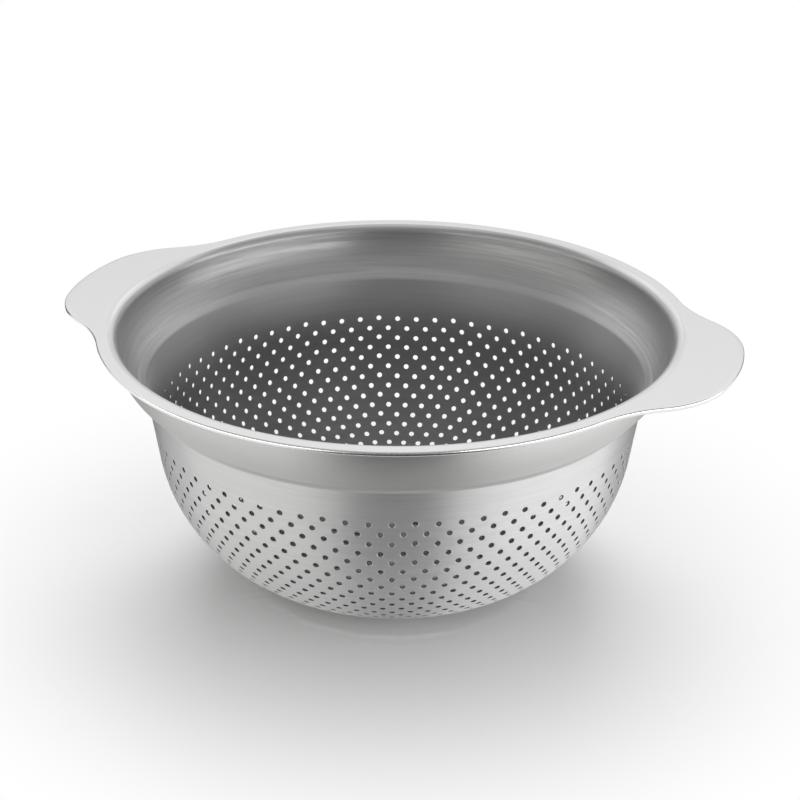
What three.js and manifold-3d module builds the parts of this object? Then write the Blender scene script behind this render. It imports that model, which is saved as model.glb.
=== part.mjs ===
// Pressed steel colander: a perforated bowl hung in a flared rim collar with two flat ears.
// Millimetres, +Z up. The origin is the centre of the flat base; the ears point along +X and -X.
import * as THREE from "three";
import { mergeVertices } from "three/addons/utils/BufferGeometryUtils.js";
import Module from "manifold-3d";

// Overall sizes
const RIM_DIAMETER = 240;
const EAR_SPAN = 280; // tip to tip
const HEIGHT = 108; // base to the top of the rim

// Rim collar: flange, bend, flared wall and the conical seat that carries the bowl
const COLLAR_SHEET = 1.8;
const FLANGE_FLAT = 4.7; // flat width of the plain rim, outside the bend
const FLANGE_BEND = 1.6; // radius under the flange
const EDGE_BREAK = 0.5; // chamfer on the rim's sheared edge
const WALL_STRAIGHT = 0.1;
const WALL_DRAFT = 4; // degrees from the vertical
const FLARE_RADIUS = 27; // outside of the flared wall
const SEAT_SLOPE = 42; // degrees from the horizontal

// Ears, as arcs in plan
const EAR_TIP_RADIUS = 90;
const EAR_TIP_HALF_ANGLE = 13; // degrees of the tip arc each side of the ear's axis
const EAR_CORNER_RADIUS = 38;
const EAR_BLEND_RADIUS = 55; // concave blend into the plain rim

// Strainer bowl
const BOWL_SHEET = 0.8;
const MOUTH_DIAMETER = 202.4; // outside of the bowl where it leaves the collar
const BOWL_DRAFT = 8.5; // degrees from the vertical, above the round part
const BOWL_RADIUS = 68; // round part, outside
const BASE_DIAMETER = 96; // to the sharp corner between the round part and the flat base
const BASE_BEND = 20;
const LIP_BEND = 1.5; // under the turned-out lip
const LIP_LENGTH = 3.8;

// Perforation: a punch cuts one sector at a time, so each row rises towards the sector's edges
const HOLE_DIAMETER = 2.3;
const SECTORS = 18;
const SECTOR_COLUMNS = 4;
const SECTOR_PHASE = 4.2; // degrees from the ear axis to a sector's middle
const SECTOR_RISE = 0.67; // at the sector's edge
const ROW_PITCH = 4.5; // along the wall
const BARE_BAND = 15.8; // plain wall above the first row
const BASE_MARGIN = 7; // plain wall between the last row and the base bend
const BASE_RING_PITCH = 9;
const BASE_RING_GROWTH = 4; // holes that each ring of the base has more than the ring inside it
const PATTERN_STRIDE = 2; // the model cuts every second row and every second column of the pattern

// Fits
const LAP_GAP = 0.3; // between the bowl's lip and the collar's seat
const BORE_GAP = 0.3; // between the bowl's wall and the collar's lower edge
const WELD_GAP = 0.3; // between the weld bead and the two sheets
const WELD_LEG = 1.4;
const WELD_HOLLOW = 0.12; // how far the bead's face sinks below its chord

// Facets
const COLLAR_SEGMENTS = 54;
const HOLE_SIDES = 5;
const CHORD_ERROR = 0.14; // most that a facet of an arc may stand off the true curve
const MERGE_DISTANCE = 1e-4;

const wasm = await Module();
wasm.setup();

const rad = THREE.MathUtils.degToRad;
const point = (r, z) => new THREE.Vector2(r, z);
const along = (from, direction, distance) => from.clone().addScaledVector(direction, distance);

// Points of an arc about a centre, from one angle to another, in radians.
function arc(centre, radius, from, to) {
  const widest = 2 * Math.acos(1 - Math.min(1, CHORD_ERROR / radius));
  const steps = Math.ceil(Math.abs(to - from) / widest);
  return Array.from({ length: steps + 1 }, (_, i) => {
    const angle = from + ((to - from) * i) / steps;
    return point(centre.x + radius * Math.cos(angle), centre.y + radius * Math.sin(angle));
  });
}

// The point where two lines meet, each given by a point and a direction.
function meet(p, u, q, v) {
  const between = q.clone().sub(p);
  return along(p, u, between.cross(v) / u.cross(v));
}

// A geometry with only positions and shared corners, without the faces that have no area.
function welded(geometry) {
  const bare = new THREE.BufferGeometry();
  bare.setAttribute("position", geometry.getAttribute("position"));
  bare.setIndex(geometry.getIndex());
  const merged = mergeVertices(bare, MERGE_DISTANCE);
  const index = merged.getIndex().array;
  const faces = [];
  for (let i = 0; i < index.length; i += 3) {
    const [a, b, c] = index.slice(i, i + 3);
    if (a !== b && b !== c && c !== a) faces.push(a, b, c);
  }
  return merged.setIndex(faces);
}

function solidOf(geometry) {
  const closed = welded(geometry);
  return new wasm.Manifold(
    new wasm.Mesh({
      numProp: 3,
      vertProperties: closed.getAttribute("position").array,
      triVerts: new Uint32Array(closed.getIndex().array),
    }),
  );
}

function geometryOf(solid) {
  const { vertProperties, triVerts } = solid.getMesh();
  const geometry = new THREE.BufferGeometry();
  geometry.setAttribute("position", new THREE.BufferAttribute(vertProperties, 3));
  return geometry.setIndex(new THREE.BufferAttribute(triVerts, 1));
}

// A body of revolution about Z from an outline of (radius, height) points.
function revolve(outline) {
  return new THREE.LatheGeometry(outline, COLLAR_SEGMENTS).rotateX(Math.PI / 2);
}

// Collar section. Slopes are measured from the horizontal.
const outAt = (slope) => point(Math.sin(slope), -Math.cos(slope));
const downAt = (slope) => point(-Math.cos(slope), -Math.sin(slope));
const wallSlope = Math.PI / 2 - rad(WALL_DRAFT);
const seatSlope = rad(SEAT_SLOPE);
const rimRadius = RIM_DIAMETER / 2;
const flangeBendCentre = point(rimRadius - FLANGE_FLAT, HEIGHT - COLLAR_SHEET - FLANGE_BEND);
const collarWallTop = along(flangeBendCentre, outAt(wallSlope), -FLANGE_BEND);
const flareTop = along(collarWallTop, downAt(wallSlope), WALL_STRAIGHT);
const flareCentre = along(flareTop, outAt(wallSlope), -FLARE_RADIUS);
const seatOutside = along(flareCentre, outAt(seatSlope), FLARE_RADIUS);
const seatInside = along(flareCentre, outAt(seatSlope), FLARE_RADIUS - COLLAR_SHEET);

// Where the bowl's outside leaves the underside of the seat, and the bowl's wall there.
const mouth = point(MOUTH_DIAMETER / 2, 0);
const crease = meet(seatOutside, downAt(seatSlope), mouth, point(0, 1));
const wallUp = point(Math.sin(rad(BOWL_DRAFT)), Math.cos(rad(BOWL_DRAFT)));
const wallOut = point(wallUp.y, -wallUp.x);

function rimCollar() {
  const boreLine = along(crease, wallOut, BORE_GAP);
  const edgeOutside = meet(seatOutside, downAt(seatSlope), boreLine, wallUp);
  const edgeInside = meet(seatInside, downAt(seatSlope), boreLine, wallUp);
  const bendTop = Math.PI / 2;
  const bendFoot = Math.PI - rad(WALL_DRAFT);
  const flareStart = -rad(WALL_DRAFT);
  const flareFoot = seatSlope - Math.PI / 2;
  const joinRadius = rimRadius - FLANGE_FLAT / 2;
  const outline = [
    point(joinRadius, HEIGHT - COLLAR_SHEET),
    point(joinRadius, HEIGHT),
    ...arc(flangeBendCentre, FLANGE_BEND + COLLAR_SHEET, bendTop, bendFoot),
    ...arc(flareCentre, FLARE_RADIUS - COLLAR_SHEET, flareStart, flareFoot),
    edgeInside,
    edgeOutside,
    ...arc(flareCentre, FLARE_RADIUS, flareFoot, flareStart),
    ...arc(flangeBendCentre, FLANGE_BEND, bendFoot, bendTop),
    point(joinRadius, HEIGHT - COLLAR_SHEET),
  ];
  return geometryOf(solidOf(revolve(outline)).add(solidOf(flangePlate())));
}

// Half outline of one ear in plan, from its tip to the plain rim, on the +Y side of the +X ear.
function earHalf() {
  const tipCentre = point(EAR_SPAN / 2 - EAR_TIP_RADIUS, 0);
  const tipEnd = rad(EAR_TIP_HALF_ANGLE);
  const tipDirection = point(Math.cos(tipEnd), Math.sin(tipEnd));
  const cornerCentre = along(tipCentre, tipDirection, EAR_TIP_RADIUS - EAR_CORNER_RADIUS);
  const toCorner = cornerCentre.clone().normalize();
  const reach = rimRadius + EAR_BLEND_RADIUS;
  const gap = EAR_CORNER_RADIUS + EAR_BLEND_RADIUS;
  const distance = cornerCentre.length();
  const across = (reach ** 2 - gap ** 2 + distance ** 2) / (2 * distance);
  const aside = Math.sqrt(reach ** 2 - across ** 2);
  const blendCentre = toCorner.clone().multiplyScalar(across);
  blendCentre.addScaledVector(point(-toCorner.y, toCorner.x), aside);
  const blendStart = cornerCentre.clone().sub(blendCentre).angle();
  const rimStart = blendCentre.angle();
  const outline = [
    ...arc(tipCentre, EAR_TIP_RADIUS, 0, tipEnd),
    ...arc(cornerCentre, EAR_CORNER_RADIUS, tipEnd, blendStart - Math.PI).slice(1),
    ...arc(blendCentre, EAR_BLEND_RADIUS, blendStart, rimStart + Math.PI).slice(1),
  ];
  return { outline, rimStart };
}

// The flat of the rim with both ears, open inside the bend.
function flangePlate() {
  const { outline, rimStart } = earHalf();
  const mirrored = (list, x, y) => list.map((p) => point(p.x * x, p.y * y)).reverse();
  const quarter = [...outline, ...arc(point(0, 0), rimRadius, rimStart, Math.PI / 2).slice(1)];
  const upper = [...quarter, ...mirrored(quarter, -1, 1).slice(1)];
  const lower = mirrored(upper, 1, -1).slice(1, -1);
  const shape = new THREE.Shape([...upper, ...lower]);
  const opening = new THREE.Path();
  opening.absarc(0, 0, flangeBendCentre.x, 0, 2 * Math.PI, true);
  shape.holes.push(opening);
  const plate = new THREE.ExtrudeGeometry(shape, {
    depth: COLLAR_SHEET - 2 * EDGE_BREAK,
    bevelSegments: 1,
    bevelThickness: EDGE_BREAK,
    bevelSize: EDGE_BREAK,
    bevelOffset: -EDGE_BREAK,
    curveSegments: COLLAR_SEGMENTS / 2,
  });
  return plate.translate(0, 0, HEIGHT - COLLAR_SHEET + EDGE_BREAK);
}

// Bowl section: the round part is tangent to the drafted wall and passes through the base corner.
const toBase = along(crease, wallOut, -BOWL_RADIUS).sub(point(BASE_DIAMETER / 2, 0));
const drop = toBase.dot(wallUp);
const wallLength = drop - Math.sqrt(drop ** 2 - toBase.lengthSq() + BOWL_RADIUS ** 2);
const bowlCentre = along(along(crease, wallUp, -wallLength), wallOut, -BOWL_RADIUS);
const roundTop = -rad(BOWL_DRAFT);
const bendReach = Math.sqrt((BOWL_RADIUS - BASE_BEND) ** 2 - (bowlCentre.y - BASE_BEND) ** 2);
const baseBendCentre = point(bowlCentre.x + bendReach, BASE_BEND);
const baseFlatRadius = baseBendCentre.x;
const roundEnd = baseBendCentre.clone().sub(bowlCentre).angle() - 2 * Math.PI;
const wallEnd = wallLength + (roundTop - roundEnd) * BOWL_RADIUS;

// Rows that are cut, as distances below the crease along the wall.
const rowStep = PATTERN_STRIDE * ROW_PITCH;
const rowCount = 1 + Math.floor((wallEnd - BARE_BAND - BASE_MARGIN) / rowStep);
const rows = Array.from({ length: rowCount }, (_, i) => BARE_BAND + i * rowStep);

// A station of the sheet: its outside and inside points and its distance below the crease.
function station(outside, inwards, distance) {
  return { outside, inside: along(outside, inwards, BOWL_SHEET), distance };
}

function wallStation(distance) {
  if (distance <= wallLength) {
    return station(along(crease, wallUp, -distance), wallOut.clone().negate(), distance);
  }
  const angle = roundTop - (distance - wallLength) / BOWL_RADIUS;
  const spoke = point(Math.cos(angle), Math.sin(angle));
  return station(along(bowlCentre, spoke, BOWL_RADIUS), spoke.negate(), distance);
}

function baseBendStations() {
  return arc(baseBendCentre, BASE_BEND, -Math.PI / 2, roundEnd)
    .slice(0, -1)
    .map((p) => station(p, baseBendCentre.clone().sub(p).normalize(), Infinity));
}

// The lip turns out over the collar's seat and lies along it.
function lipStations() {
  const underside = along(seatInside, outAt(seatSlope), -LAP_GAP);
  const corner = meet(underside, downAt(seatSlope), crease, wallUp);
  const turn = wallUp.angle() - seatSlope;
  const bendFoot = along(corner, wallUp, -LIP_BEND * Math.tan(turn / 2));
  const centre = along(bendFoot, wallOut, LIP_BEND);
  const start = Math.PI - rad(BOWL_DRAFT);
  const edge = along(corner, downAt(seatSlope), -LIP_LENGTH);
  return [
    ...arc(centre, LIP_BEND, start, start - turn)
      .map((p) => station(p, p.clone().sub(centre).normalize(), -Infinity)),
    station(edge, outAt(seatSlope).negate(), -Infinity),
  ];
}

// Stations from the flat base up to the lip's edge, with one midway between each two rows.
function bowlStations() {
  const edges = [rows[0] - rowStep / 2, ...rows.map((row) => row + rowStep / 2)];
  const between = edges.filter((edge) => edge < wallEnd - HOLE_DIAMETER).reverse();
  return [
    ...baseBendStations(),
    wallStation(wallEnd),
    ...between.map(wallStation),
    ...lipStations(),
  ];
}

// Bearings of the bowl's facets: each facet carries one column of the even rows and one of the odd.
const facetCount = (SECTORS * SECTOR_COLUMNS) / PATTERN_STRIDE;
const facetHalf = Math.PI / facetCount;
const sectorAngle = (2 * Math.PI) / SECTORS;
const columnAngle = sectorAngle / SECTOR_COLUMNS;
const firstColumn = rad(SECTOR_PHASE) - sectorAngle / 2;
const edgeBearing = (i) => firstColumn - facetHalf / 2 + 2 * facetHalf * (i % facetCount);

function atBearing(p, bearing) {
  return new THREE.Vector3(p.x * Math.cos(bearing), p.x * Math.sin(bearing), p.y);
}

// Corners of one hole in its own plane.
function holeOutline(x, y) {
  return Array.from({ length: HOLE_SIDES }, (_, i) => {
    const angle = (2 * Math.PI * i) / HOLE_SIDES;
    return point(x, y).addScaledVector(point(Math.cos(angle), Math.sin(angle)), HOLE_DIAMETER / 2);
  });
}

// Adds a flat face with holes to the corners of a surface. Its outline and holes are given both in
// the face's own plane and as places in space.
function addFace(corners, flat, placed, facesOut) {
  const spots = [...placed.outline, ...placed.holes.flat()];
  for (const [a, b, c] of THREE.ShapeUtils.triangulateShape(flat.outline, flat.holes)) {
    const order = facesOut ? [a, b, c] : [a, c, b];
    corners.push(...order.map((i) => spots[i]));
  }
}

// Adds the wall of a hole, from its outline on one side of the sheet to the other.
function addHoleWall(corners, outside, inside) {
  outside.forEach((p, i) => {
    const next = (i + 1) % outside.length;
    corners.push(p, outside[next], inside[i], outside[next], inside[next], inside[i]);
  });
}

// One side of a facet between two section points, flattened: its outline, and how to place a point.
function flattened(lower, upper, i) {
  const middle = edgeBearing(i) + facetHalf;
  const foot = point(lower.x * Math.cos(facetHalf), lower.y);
  const head = point(upper.x * Math.cos(facetHalf), upper.y);
  const up = head.clone().sub(foot);
  const height = up.length();
  up.normalize();
  const across = new THREE.Vector3(-Math.sin(middle), Math.cos(middle), 0);
  const place = (p) => atBearing(along(foot, up, p.y), middle).addScaledVector(across, p.x);
  const halfFoot = lower.x * Math.sin(facetHalf);
  const halfHead = upper.x * Math.sin(facetHalf);
  const outline = [
    point(-halfFoot, 0),
    point(halfFoot, 0),
    point(halfHead, height),
    point(-halfHead, height),
  ];
  const [left, right] = [edgeBearing(i), edgeBearing(i + 1)];
  const spots = [
    atBearing(lower, left),
    atBearing(lower, right),
    atBearing(upper, right),
    atBearing(upper, left),
  ];
  return { foot, up, height, outline, spots, place };
}

// The place of a facet's hole on its outside, where a row crosses the facet.
function facetHole(lower, upper, outside, row, i) {
  const column = PATTERN_STRIDE * i + (row % 2);
  const inSector = ((column % SECTOR_COLUMNS) / SECTOR_COLUMNS) * 2 - 1;
  const rise = SECTOR_RISE * inSector ** 2;
  const share = (lower.distance - rows[row] + rise) / (lower.distance - upper.distance);
  const y = share * outside.height;
  const fromMiddle = firstColumn + column * columnAngle - edgeBearing(i) - facetHalf;
  return point(along(outside.foot, outside.up, y).x * Math.tan(fromMiddle), y);
}

function addFacet(corners, lower, upper, i) {
  const outside = flattened(lower.outside, upper.outside, i);
  const inside = flattened(lower.inside, upper.inside, i);
  const row = rows.findIndex((d) => d < lower.distance && d > upper.distance);
  const holes = { outside: [], inside: [] };
  if (row >= 0) {
    const centre = facetHole(lower, upper, outside, row, i);
    const slip = outside.foot.clone().sub(inside.foot).dot(outside.up);
    holes.outside.push(holeOutline(centre.x, centre.y));
    holes.inside.push(holeOutline(centre.x, centre.y + slip));
  }
  const placed = {
    outside: holes.outside.map((hole) => hole.map(outside.place)),
    inside: holes.inside.map((hole) => hole.map(inside.place)),
  };
  const outer = { outline: outside.outline, holes: holes.outside };
  const inner = { outline: inside.outline, holes: holes.inside };
  addFace(corners, outer, { outline: outside.spots, holes: placed.outside }, true);
  addFace(corners, inner, { outline: inside.spots, holes: placed.inside }, false);
  placed.outside.forEach((hole, k) => addHoleWall(corners, hole, placed.inside[k]));
}

// The flat base with its rings of holes; its rim is the first station's polygon.
function addBase(corners, first) {
  const bearings = Array.from({ length: facetCount }, (_, i) => edgeBearing(i));
  const ringCount = Math.floor((baseFlatRadius - BASE_MARGIN) / BASE_RING_PITCH);
  const holes = [];
  for (let ring = 1; ring <= ringCount; ring += 1) {
    const count = ring * BASE_RING_GROWTH;
    for (let i = 0; i < count; i += 1) {
      const bearing = (2 * Math.PI * i) / count;
      const radius = ring * BASE_RING_PITCH;
      holes.push(holeOutline(radius * Math.cos(bearing), radius * Math.sin(bearing)));
    }
  }
  const flat = {
    outline: bearings.map((b) => point(first.outside.x * Math.cos(b), first.outside.x * Math.sin(b))),
    holes,
  };
  const atHeight = (z) => holes.map((hole) => hole.map((p) => new THREE.Vector3(p.x, p.y, z)));
  const under = atHeight(first.outside.y);
  const over = atHeight(first.inside.y);
  const rim = (p) => bearings.map((b) => atBearing(p, b));
  addFace(corners, flat, { outline: rim(first.outside), holes: under }, false);
  addFace(corners, flat, { outline: rim(first.inside), holes: over }, true);
  over.forEach((hole, k) => addHoleWall(corners, hole, under[k]));
}

function strainerBowl() {
  const corners = [];
  const stations = bowlStations();
  const lip = stations[stations.length - 1];
  addBase(corners, stations[0]);
  for (let i = 0; i < facetCount; i += 1) {
    for (let level = 0; level + 1 < stations.length; level += 1) {
      addFacet(corners, stations[level], stations[level + 1], i);
    }
    const [left, right] = [edgeBearing(i), edgeBearing(i + 1)];
    const [a, b] = [atBearing(lip.outside, left), atBearing(lip.outside, right)];
    const [c, d] = [atBearing(lip.inside, right), atBearing(lip.inside, left)];
    corners.push(a, b, c, a, c, d);
  }
  return welded(new THREE.BufferGeometry().setFromPoints(corners));
}

// Weld bead in the corner between the underside of the seat and the bowl's wall.
function seamWeld() {
  const underSeat = along(seatOutside, outAt(seatSlope), WELD_GAP);
  const besideWall = along(crease, wallOut, WELD_GAP);
  const root = meet(underSeat, downAt(seatSlope), besideWall, wallUp);
  const onSeat = along(root, downAt(seatSlope), -WELD_LEG);
  const onBowl = along(root, wallUp, -WELD_LEG);
  const chord = onSeat.clone().sub(onBowl);
  const inwards = root.clone().sub(along(onBowl, chord, 0.5)).normalize();
  const face = [0.25, 0.5, 0.75].map((t) => {
    const sink = 4 * t * (1 - t) * WELD_HOLLOW;
    return along(along(onBowl, chord, t), inwards, sink);
  });
  return welded(revolve([root, onBowl, ...face, onSeat, root.clone()]));
}

function piece(name, geometry, color, roughness) {
  geometry.computeVertexNormals();
  const steel = new THREE.MeshStandardMaterial({ color, roughness, metalness: 1 });
  const mesh = new THREE.Mesh(geometry, steel);
  mesh.name = name;
  return mesh;
}

const colander = new THREE.Group();
colander.name = "colander";
colander.add(
  piece("rim_collar", rimCollar(), 0xc9c9c7, 0.34),
  piece("strainer_bowl", strainerBowl(), 0xc4c6c8, 0.38),
  piece("seam_weld", seamWeld(), 0xb0b0b0, 0.45),
);

export default colander;
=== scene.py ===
"""Steel colander as a Blender add-on: rim collar, strainer bowl, seam weld and a studio stage."""

import math

import bmesh
import bpy
import numpy as np
from mathutils import Matrix, Vector, geometry


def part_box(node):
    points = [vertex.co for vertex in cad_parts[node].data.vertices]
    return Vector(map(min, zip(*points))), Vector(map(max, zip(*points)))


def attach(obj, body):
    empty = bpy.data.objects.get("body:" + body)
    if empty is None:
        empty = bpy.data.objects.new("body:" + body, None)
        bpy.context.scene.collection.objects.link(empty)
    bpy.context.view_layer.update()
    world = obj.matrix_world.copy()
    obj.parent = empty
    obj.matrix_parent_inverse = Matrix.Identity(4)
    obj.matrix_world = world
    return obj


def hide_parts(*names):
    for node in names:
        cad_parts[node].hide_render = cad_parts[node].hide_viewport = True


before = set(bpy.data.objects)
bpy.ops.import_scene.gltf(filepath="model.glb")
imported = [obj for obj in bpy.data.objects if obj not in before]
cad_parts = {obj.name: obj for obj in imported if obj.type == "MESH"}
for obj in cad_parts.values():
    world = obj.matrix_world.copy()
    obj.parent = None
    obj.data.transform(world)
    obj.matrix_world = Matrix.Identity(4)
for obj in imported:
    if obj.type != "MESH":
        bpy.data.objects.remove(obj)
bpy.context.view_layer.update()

bl_info = {
    "name": "Colander",
    "version": (1, 0, 0),
    "blender": (4, 5, 0),
    "location": "View3D > Sidebar > Colander",
    "description": "Builds a pressed steel colander on its packed frame, with its finish and a stage",
    "category": "Mesh",
}

BODY = "root"
COLLAR_LOW, COLLAR_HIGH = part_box("rim_collar")

# Mesh densities, which change no size; a hole has as many points as the outline of its cell
COLLAR_COLUMNS = 480
WELD_COLUMNS = 360
WELD_STEPS = 8
COLUMN_STEPS = 4
ROW_STEPS = 4
HOLE_POINTS = 2 * (COLUMN_STEPS + ROW_STEPS)
ARC_STEPS = 10
EDGE_STEPS = 4
LIP_STEPS = 6
BAND_STEPS = 6
FOOT_STEPS = 3
BASE_BEND_STEPS = 4
EAR_TIP_STEPS = 40
EAR_SIDE_STEPS = 60
FLANGE_STEPS = (0.06, 0.25, 0.5, 0.75, 0.94)

# Settings of the triangulation: keep what lies inside the rim, and join points this close
INSIDE_ONLY = 1
SAME_POINT = 1e-9

# Angles from which an edge stays sharp, in degrees
COLLAR_SHARP = 30
BOWL_SHARP = 20
WELD_SHARP = 50

# Places of the finishes on each pressing
OUTSIDE, SATIN, INSIDE = 0, 1, 2
STEEL, PUNCHED, LINING = 0, 1, 2

# Depth of a hole's soft edge, against its width
BREAK_DEPTH = 0.7

# Waver of the weld: size, waves round the bowl and phase, then what it does to leg and hollow
WAVER = ((0.05, 7, 0.4), (0.04, 23, 0.0), (0.03, 61, 1.0))
LEG_SHARE = 0.93
LEG_WAVER = 0.6
HOLLOW_WAVER = 2

# Noise: scale, detail and roughness
LINE_NOISE = (1.0, 3.0, 0.6)
CLOUD_NOISE = (16.0, 4.0, 0.55)
PUNCH_NOISE = (900.0, 5.0, 0.6)

# Brush lines: cells of noise to a metre across them and to a radian along them
FINE_LINES = (2600.0, 3.0)
BROAD_LINES = (420.0, 2.0)
BROAD_SHARE = 0.4
HEIGHT_WEIGHT = 1.3
ALONG_LINES = 0.25

# What a brush line changes, for lines of depth 1
TONE_RANGE = (0.32, 0.68)
LINE_DARKER = 0.09
LINE_LIGHTER = 0.05
GLOSS_RANGE = (0.3, 0.7)
LINE_GLOSS = 0.06
CLOUD_GLOSS = 0.06
LINE_RELIEF = 0.2
LINE_HEIGHT = 0.00006

# What the grain of a punched edge changes
PUNCH_DARKEST = 0.8
PUNCH_LIGHTEST = 1.15
PUNCH_GLOSS = 0.1
PUNCH_RELIEF = 0.4
PUNCH_HEIGHT = 0.00003

# Lamps: place as right, back and up from the camera's side, then width and height
FLOOR_LAMP = ((0.0, 0.9, 0.75), (0.9, 0.5))
LEFT_BOX = ((-0.783, -0.459, 0.15), (1.45, 0.26))
RIGHT_BOX = ((0.812, -0.415, 0.15), (1.58, 0.26))
LEFT_TINT = (1.0, 0.988, 0.96)
LAMP_AIM = (0.0, 0.0, 0.06)

# Floor, and dark cards that only reflections see, in metres
FLOOR_HALF = 3.0
FLOOR_LEVEL = -0.0002
FLOOR_FADE = 0.06
CARD_COLOUR = (0.08, 0.08, 0.08, 1.0)
CARD_LEVEL = 0.0005
CARD_LEFT, CARD_RIGHT, CARD_END = -0.125, 0.16, -0.9
SIDE_CARD_NEAR, SIDE_CARD_FAR, SIDE_CARD_BACK, SIDE_CARD_TOP = 0.14, 0.45, 0.2, 0.115

# Room, as ranges of a direction's part towards the back or upwards
BACKDROP_SIDES = (0.0, 0.45)
BACKDROP_TOP = (0.93, 0.62)
BACKDROP_RISE = (0.33, 0.46)
BACKDROP_LOWEST = 0.68
WALL_RISE = (0.08, 0.38)
CEILING_RISE = (0.82, 0.97)

# Camera: width of its sensor in millimetres, and how near and far it sees
SENSOR_WIDTH = 36.0
CLIP_START, CLIP_END = 0.01, 100.0

# Settings


def length(name, description, default):
    """A length in metres that a user may change."""
    return bpy.props.FloatProperty(
        name=name, description=description, default=default, min=0.0, precision=5, unit="LENGTH"
    )


def angle(name, description, degrees):
    """An angle that a user may change, given here in degrees."""
    return bpy.props.FloatProperty(
        name=name, description=description, default=math.radians(degrees), subtype="ANGLE"
    )


def share(name, description, default):
    """A number from 0 to 1."""
    return bpy.props.FloatProperty(
        name=name, description=description, default=default, min=0.0, max=1.0, subtype="FACTOR"
    )


def amount(name, description, default):
    """A plain number from 0 up; as a brightness, 1 renders as white."""
    return bpy.props.FloatProperty(name=name, description=description, default=default, min=0.0)


def whole(name, description, default, least=1):
    """A whole number."""
    return bpy.props.IntProperty(name=name, description=description, default=default, min=least)


def colour(name, description, default):
    """A surface colour."""
    return bpy.props.FloatVectorProperty(
        name=name, description=description, default=default, size=3, min=0.0, max=1.0, subtype="COLOR"
    )


class CollarSizes(bpy.types.PropertyGroup):
    """Sizes of the rim collar and its ears."""

    rim_diameter: length("Rim diameter", "Across the plain rim", COLLAR_HIGH.y - COLLAR_LOW.y)
    ear_span: length("Ear span", "From ear tip to ear tip", COLLAR_HIGH.x - COLLAR_LOW.x)
    height: length("Height", "From the base to the top of the rim", COLLAR_HIGH.z)
    sheet: length("Collar sheet", "Thickness of the collar", 0.0018)
    flange_flat: length("Flange flat", "Flat width of the plain rim", 0.0047)
    flange_bend: length("Flange bend", "Radius under the flange", 0.0016)
    edge_round: length("Edge round", "Radius on the rim's deburred edge", 0.0006)
    wall_straight: length("Straight wall", "Straight part under the flange", 0.0001)
    wall_draft: angle("Wall draft", "Lean of the wall from the vertical", 4)
    flare_radius: length("Flare radius", "Outside radius of the flared wall", 0.027)
    seat_slope: angle("Seat slope", "Slope of the bowl's seat", 42)
    ear_tip_radius: length("Ear tip radius", "Radius of the ear's outer edge", 0.090)
    ear_tip_half: angle("Ear tip half angle", "Half of the tip arc", 13)
    ear_corner: length("Ear corner radius", "Radius of the ear's two corners", 0.038)
    ear_blend: length("Ear blend radius", "Concave blend into the plain rim", 0.055)


class BowlSizes(bpy.types.PropertyGroup):
    """Sizes of the strainer bowl, its holes and the weld under its mouth."""

    sheet: length("Bowl sheet", "Thickness of the bowl", 0.0008)
    mouth_diameter: length("Mouth diameter", "Outside of the bowl where it leaves the collar", 0.2024)
    draft: angle("Wall draft", "Lean of the wall above the round part", 8.5)
    round_radius: length("Round radius", "Outside radius of the round part", 0.068)
    base_diameter: length("Base diameter", "To the sharp corner of round part and base", 0.096)
    base_bend: length("Base bend", "Bend radius round the base", 0.020)
    lip_bend: length("Lip bend", "Radius under the turned-out lip", 0.0015)
    lip_length: length("Lip length", "Length of the lip on the seat", 0.0038)
    lip_feather: length("Lip feather", "Length over which the lip's edge is ground thin", 0.0012)
    lip_edge: length("Lip edge", "Thickness of the lip at its edge", 0.0003)
    lap_gap: length("Lap gap", "Between the lip and the collar's seat", 0.00005)
    bore_gap: length("Bore gap", "Between the bowl's wall and the collar's lower edge", 0.0003)
    hole_diameter: length("Hole diameter", "Diameter of the punched holes", 0.0023)
    hole_break: length("Hole edge break", "Soft edge that the punch leaves round a hole", 0.00018)
    sectors: whole("Sectors", "Punched sectors round the bowl", 18, 3)
    sector_columns: whole("Columns in a sector", "Holes of one row in one sector", 4)
    sector_phase: angle("Sector phase", "From the ear axis to the middle of a sector", 4.2)
    sector_rise: length("Sector rise", "Rise of a row at the sector's edges", 0.00067)
    row_pitch: length("Row pitch", "Distance of the rows along the wall", 0.0045)
    bare_band: length("Bare band", "Plain wall above the first row", 0.0158)
    base_margin: length("Base margin", "Plain wall between the last row and the base bend", 0.007)
    ring_pitch: length("Ring pitch", "Distance of the rings of holes in the base", 0.0045)
    ring_first: whole("First ring", "Innermost ring with holes", 2)
    ring_growth: whole("Ring growth", "Holes that each ring has more than the one inside it", 6)
    weld_leg: length("Weld leg", "Leg of the weld bead", 0.0014)
    weld_hollow: length("Weld hollow", "How far the bead's face sinks below its chord", 0.00012)


BRUSHING = "How far brushing spreads a highlight across its lines"
LINES = "How strongly the brush lines show"


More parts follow.
